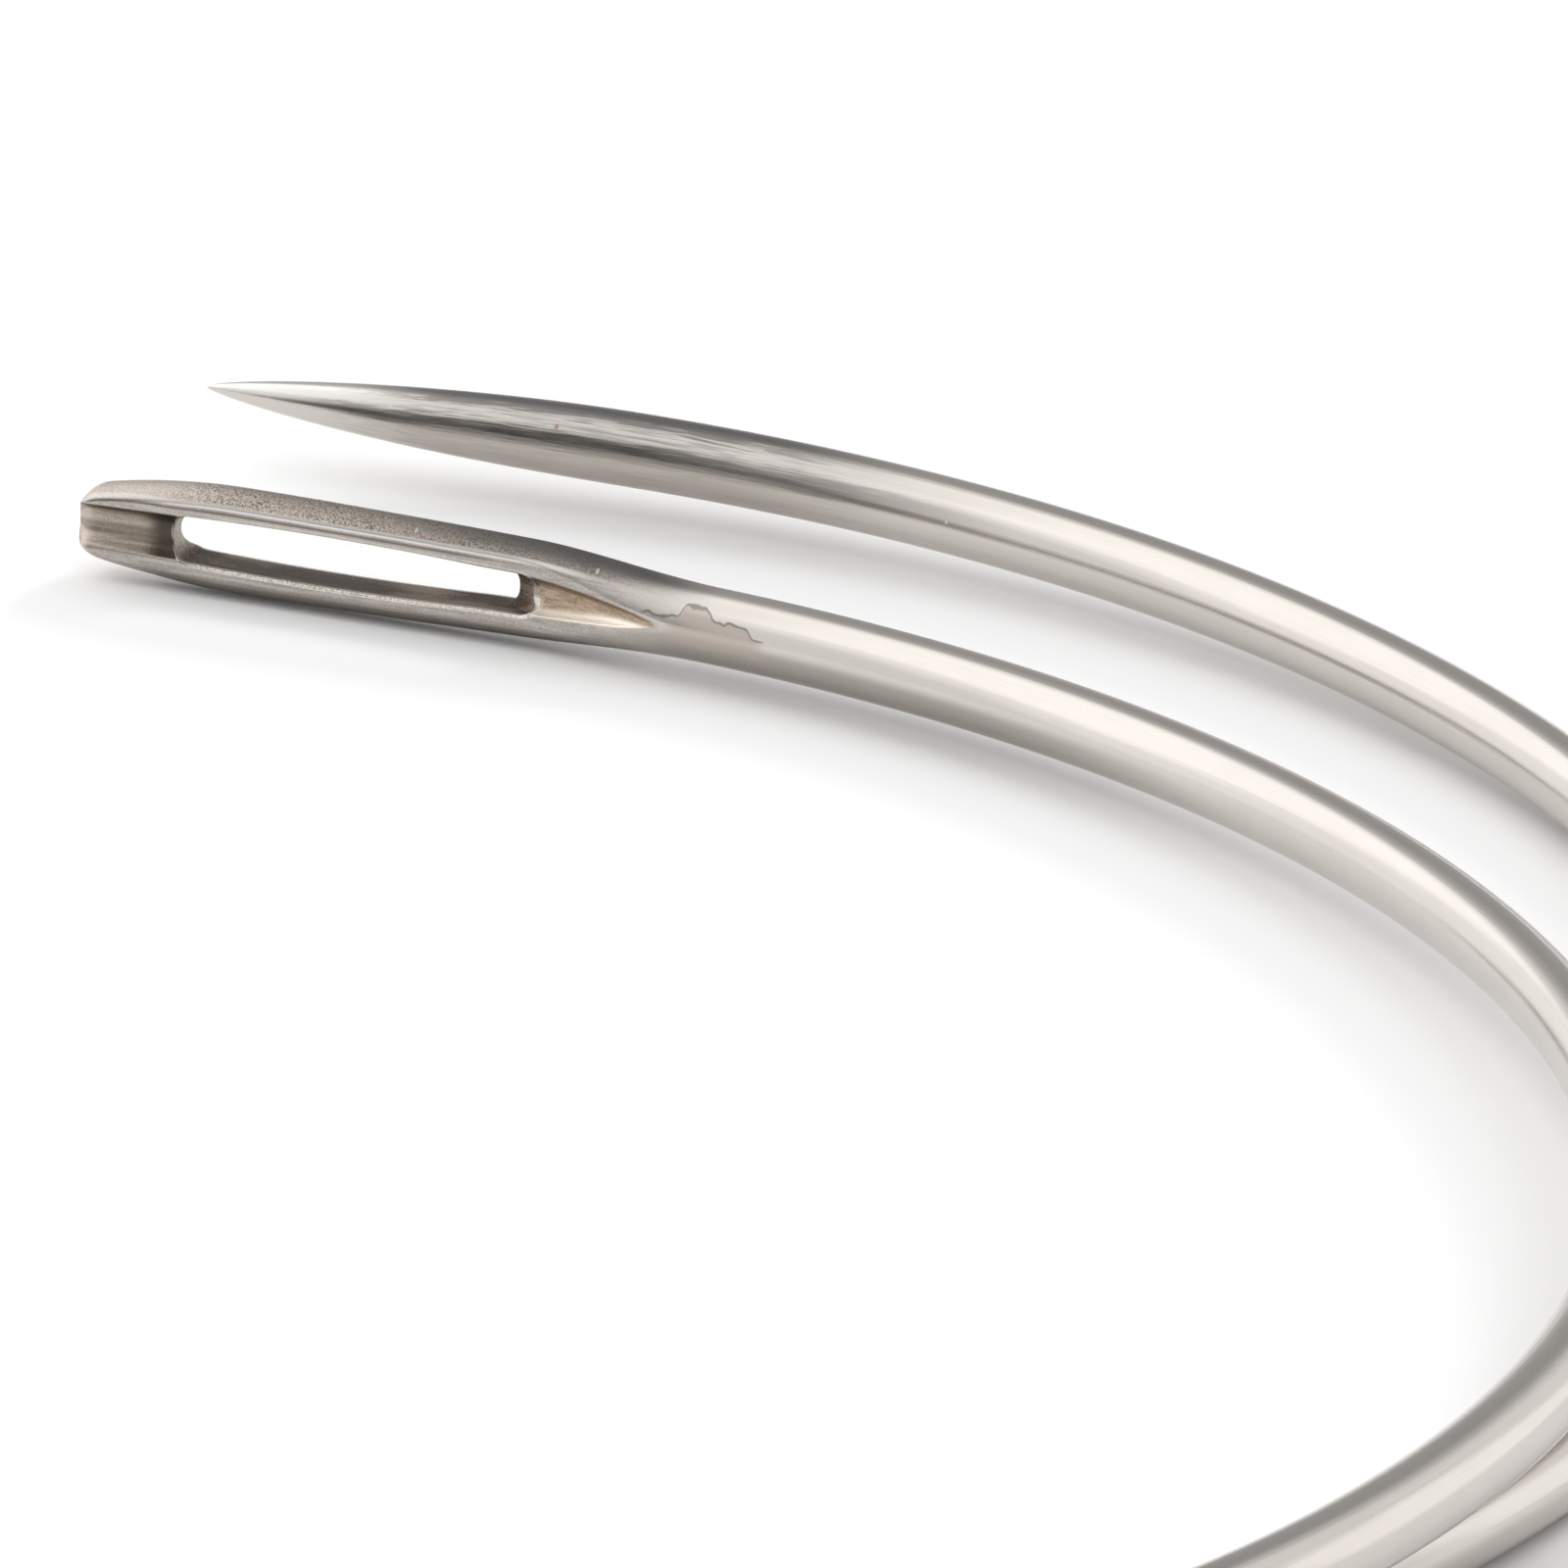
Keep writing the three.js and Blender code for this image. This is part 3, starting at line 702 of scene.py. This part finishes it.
def flash(shader, colour, streaks, sand):
    """The wavy line where metal was squeezed out behind the eye, with a smooth beige patch
    below it; a painted dark reflection along the upper edge, painted shade on the lower
    rail with a painted highlight on its lip, painted shade on the lower side, a painted
    highlight along the gutters' lower sides, brown dirt with painted shade along their
    upper sides and ridges, and two nicks."""
    place, s, out, _ = shader.named("wire_place")
    _, around, gutter, wall = shader.named("wire_form")
    t = NEEDLE_LENGTH - s
    ragged = shader.grain(place, (0.35, 0.35, 0.35), 1, 5.7) - 0.5
    near = out.smooth(0.05, -0.05)
    wave = around + 0.37 + t.smooth(15.80, 16.02) * 0.33 - t.smooth(16.45, 16.95) * 0.25
    wave = wave - t.smooth(17.60, 18.15) * 0.25 + ragged * 0.25
    seam = 1 - wave.maths("ABSOLUTE").smooth(0.012, 0.05)
    seam = seam * t.between((14.8, 15.0), (18.1, 18.3)) * near
    patch = wave.smooth(0.0, 0.05) * (1 - (around + ragged * 0.3).smooth(0.25, 0.40))
    patch = patch * near * t.between((15.3, 15.9), (17.9, 18.4))
    edge = (-around).smooth(0.80, 0.95) * (t.smooth(2.5, 6.0) * 0.35 + t.smooth(7.0, 12.0) * 0.65)
    edge = edge * (1 - t.smooth(14.5, 17.0))
    low = around.smooth(-0.15, 0.2) * t.between((14.0, 16.0), (24.0, 34.0))
    keel = around.smooth(0.56, 0.72) * t.between((1.0, 3.0), (11.0, 14.0))
    side = gutter.between((0.04, 0.14), (0.45, 0.80))
    spoon = t.smooth(11.6, 12.0)
    lip = wall.between((0.12, 0.28), (0.50, 0.90)) * around.smooth(0.0, 0.1)
    lip = lip * t.between((2.8, 3.4), (11.8, 12.2))
    ridge = (around * 9.0 + streaks * 1.6).maths("SINE").smooth(-0.3, 0.6)
    ridge = ridge * gutter.smooth(0.1, 0.3) * (1 - t.smooth(2.3, 2.6))
    nicks = spot(t, around, (13.5, -0.86), 0.05) + spot(t, around, (8.8, -0.90), 0.04)
    return shader.coats(
        colour,
        (KEEL_SHADE, keel * 0.85),
        # brown dirt and painted shade along the ridges in the gutter at the head
        (BROWN_DIRT_AND_SHADE, ridge * 0.4),
        # brown dirt and painted shade along the gutter's upper side at the head
        (BROWN_DIRT_AND_SHADE, side * (-around).smooth(0.1, 0.3) * (1 - t.smooth(3.0, 6.0)) * 0.8),
        # painted highlight along the spoon's lower side
        (SPOON_HIGHLIGHT, side * around.smooth(-0.02, 0.10) * spoon),
        # painted shade along the spoon's upper side
        (SPOON_EDGE_SHADE, side * (-around).smooth(0.10, 0.25) * spoon * 0.7),
        # painted highlight on the lower rail's lip, broken by the sand grain
        (RAIL_LIP_HIGHLIGHT, lip * (0.35 + sand.smooth(0.42, 0.58) * 0.65)),
        # painted shade on the lower side behind the eye
        (SHADED_LOWER_SIDE, low * 0.8),
        (BEIGE_PATCH, patch * 0.85),
        # painted dark reflection along the upper edge
        (UPPER_EDGE_DARK_REFLECTION, edge * 0.8),
        (SEAM_BROWN, seam * 0.75),
        (GREY_NICK, nicks * 0.6),
    )


top_needle = lay_needle("top_needle_steel", (-18.4737, -3.9448, 3.0133), 177.519, 0.55, -9.8)
top_needle.data.materials.append(nickel("top_nickel", 11.4, flash))
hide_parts("top_needle")
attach(top_needle, "top")

# The table: a wide sheet of matt white board, which keeps the needles' soft shadows.
HALF_TABLE = 6.0
BOARD_WHITE = (0.97, 0.97, 0.97)

floor_mesh = bpy.data.meshes.new("floor")
corners = [(x * HALF_TABLE, y * HALF_TABLE, 0) for x, y in ((-1, -1), (1, -1), (1, 1), (-1, 1))]
floor_mesh.from_pydata(corners, [], [(0, 1, 2, 3)])
board = Shader(bpy.data.materials.new("white_board"))
board.fill(board.surface, {"Base Color": BOARD_WHITE, "Roughness": 1.0, "Specular IOR Level": 0.0})
floor_mesh.materials.append(board.owner)
placed("floor", floor_mesh)

# The studio. A soft box hangs overhead, a small lamp at the back right gives a second,
# fainter shadow, and a window glows at the left. The room itself is white. Of the lamps
# the metal reflects only the glows, and these give no light to the table.
TOP_RADIANCE = 0.54
KEY_RADIANCE = 11.0
GLOW_RADIANCE = 0.25
SIDE_RADIANCE = 0.35
CORE_RADIANCE = 0.36
WINDOW_RADIANCE = 0.74
ROOM_FILL = 0.56


def towards(azimuth, elevation):
    """A direction from the needles: azimuth 0 is the camera's side, plus is right."""
    a, e = math.radians(azimuth), math.radians(elevation)
    return Vector((math.sin(a) * math.cos(e), -math.cos(a) * math.cos(e), math.sin(e)))


def soft_box(name, direction, distance, width, height, radiance, unseen_by):
    """A rectangular lamp that faces the needles and that one kind of ray doesn't see; its
    power is radiance x pi x area."""
    lamp = bpy.data.lights.new(name, "AREA")
    lamp.shape = "RECTANGLE"
    lamp.size = width
    lamp.size_y = height
    lamp.energy = radiance * math.pi * width * height
    box = placed(name, lamp)
    box.location = direction * distance
    box.rotation_euler = direction.to_track_quat("Z", "Y").to_euler()
    setattr(box, "visible_" + unseen_by, False)


soft_box("top_box", towards(-90, 86), 0.9, 1.6, 1.6, TOP_RADIANCE, "glossy")
soft_box("key_lamp", towards(143, 30), 1.0, 0.25, 0.25, KEY_RADIANCE, "glossy")
soft_box("window_glow", towards(-125, 34), 0.9, 1.6, 1.15, GLOW_RADIANCE, "diffuse")
soft_box("window_core", towards(-125, 41), 0.8, 0.9, 0.52, CORE_RADIANCE, "diffuse")
soft_box("window", towards(-125, 34), 0.95, 1.6, 1.15, WINDOW_RADIANCE, "glossy")
soft_box("side_glow", towards(118, 14), 0.9, 0.6, 0.5, SIDE_RADIANCE, "diffuse")

room = Shader(bpy.data.worlds.new("white_room"), "Background")
bpy.context.scene.world = room.owner
camera_ray, glossy_ray, clear_ray = [
    room.add("ShaderNodeLightPath", output="Is " + kind + " Ray")
    for kind in ("Camera", "Glossy", "Transmission")
]
seen = camera_ray.maths("MAXIMUM", glossy_ray).maths("MAXIMUM", clear_ray)
levels = {"Value": seen, "To Min": ROOM_FILL, "To Max": 1.0}
strength = room.add("ShaderNodeMapRange", {}, levels)
room.fill(room.surface, {"Color": (1, 1, 1), "Strength": strength})

# Dark cards stand in front and behind, where only the metal reflects them. They draw
# the dark lines that shape a polished wire.
FRONT_LEVEL = 0.11
BACK_LEVEL = 0.42


def dark_card(name, outline, distance, level, left, right):
    """A flat sheet through these azimuths and elevations, as bright as level, that pales
    to white at the left and at the right, between these distances in metres."""
    shader = Shader(bpy.data.materials.new(name))
    aside = shader.parts(shader.add("ShaderNodeTexCoord", output="Object"))[0]
    glow = shader.colour((1, 1, 1), (level, level, level), aside.between(left, right))
    shader.fill(shader.surface, {
        "Base Color": (0, 0, 0),
        "Specular IOR Level": 0.0,
        "Emission Color": glow,
        "Emission Strength": 1.0,
    })
    mesh = bpy.data.meshes.new(name)
    corners = [towards(azimuth, elevation) * distance for azimuth, elevation in outline]
    mesh.from_pydata(corners, [], [list(range(len(corners)))])
    mesh.materials.append(shader.owner)
    card = placed(name, mesh)
    for ray in ("camera", "diffuse", "shadow", "transmission", "volume_scatter"):
        setattr(card, "visible_" + ray, False)


front_right = [(60, 1), (52, 44), (20, 58)]
front_left = [(-18, 58), (-36, 50), (-44, 41), (-50, 29), (-54, 18), (-56, 9), (-57, 1)]
dark_card("front_card", front_right + front_left, 0.8, FRONT_LEVEL, (-2.1, -2.0), (2.0, 2.1))
behind = [(125, 1), (200, 1), (206, 50), (196, 60), (125, 60)]
dark_card("back_card", behind, 1.1, BACK_LEVEL, (-0.42, 0.02), (0.15, 0.45))

# The camera: a long lens, low over the table and nearly square to the needles' eyes.
CAMERA_DISTANCE = 0.45
CAMERA_ELEVATION = math.radians(22)
CAMERA_ROLL = math.radians(0.48)
CAMERA_AIM = Vector((0.002546, 0.023942, -0.000087))

lens = bpy.data.cameras.new("camera")
lens.lens = 450
lens.sensor_width = 36
lens.clip_start = 0.01
lens.clip_end = 50
camera = placed("camera", lens)
back = Vector((0, -math.cos(CAMERA_ELEVATION), math.sin(CAMERA_ELEVATION)))
stand = Matrix.Translation(CAMERA_AIM + back * CAMERA_DISTANCE)
tilt = Matrix.Rotation(math.pi / 2 - CAMERA_ELEVATION, 4, "X")
camera.matrix_world = stand @ tilt @ Matrix.Rotation(CAMERA_ROLL, 4, "Z")
bpy.context.scene.camera = camera
bpy.context.scene.view_settings.view_transform = "Standard"
